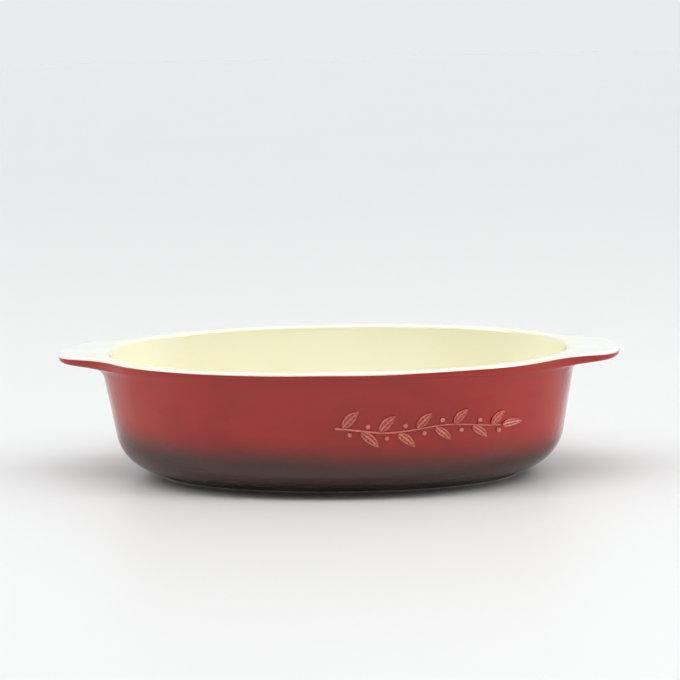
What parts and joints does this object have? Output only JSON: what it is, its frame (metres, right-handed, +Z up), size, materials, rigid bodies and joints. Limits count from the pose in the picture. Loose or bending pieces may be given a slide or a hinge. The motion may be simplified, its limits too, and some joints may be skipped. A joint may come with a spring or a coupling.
{
  "type": "oval baking dish",
  "caption": "Oval glazed stoneware baking dish with flat lug handles, a bare foot ring and a leaf sprig in relief, for oven cooking and serving.",
  "frame": {"origin": "middle of the foot, on the surface that the dish stands on", "axes": "+X along the two handles, -Y the front with the leaf sprig, +Z up"},
  "size_m": [0.36, 0.21, 0.081],
  "materials": {
    "stoneware": "matte",
    "cream_glaze": "gloss",
    "red_glaze": "gloss",
    "dark_glaze": "gloss",
    "relief_glaze": "gloss"
  },
  "bodies": {
    "root": {"bowl_body": "stoneware", "left_handle": "stoneware", "right_handle": "stoneware", "foot_ring": "stoneware", "liner_glaze": "cream_glaze", "outer_glaze": "red_glaze", "base_overspray": "dark_glaze", "underside_glaze": "dark_glaze", "leaf_sprig": "relief_glaze"}
  },
  "joints": []
}
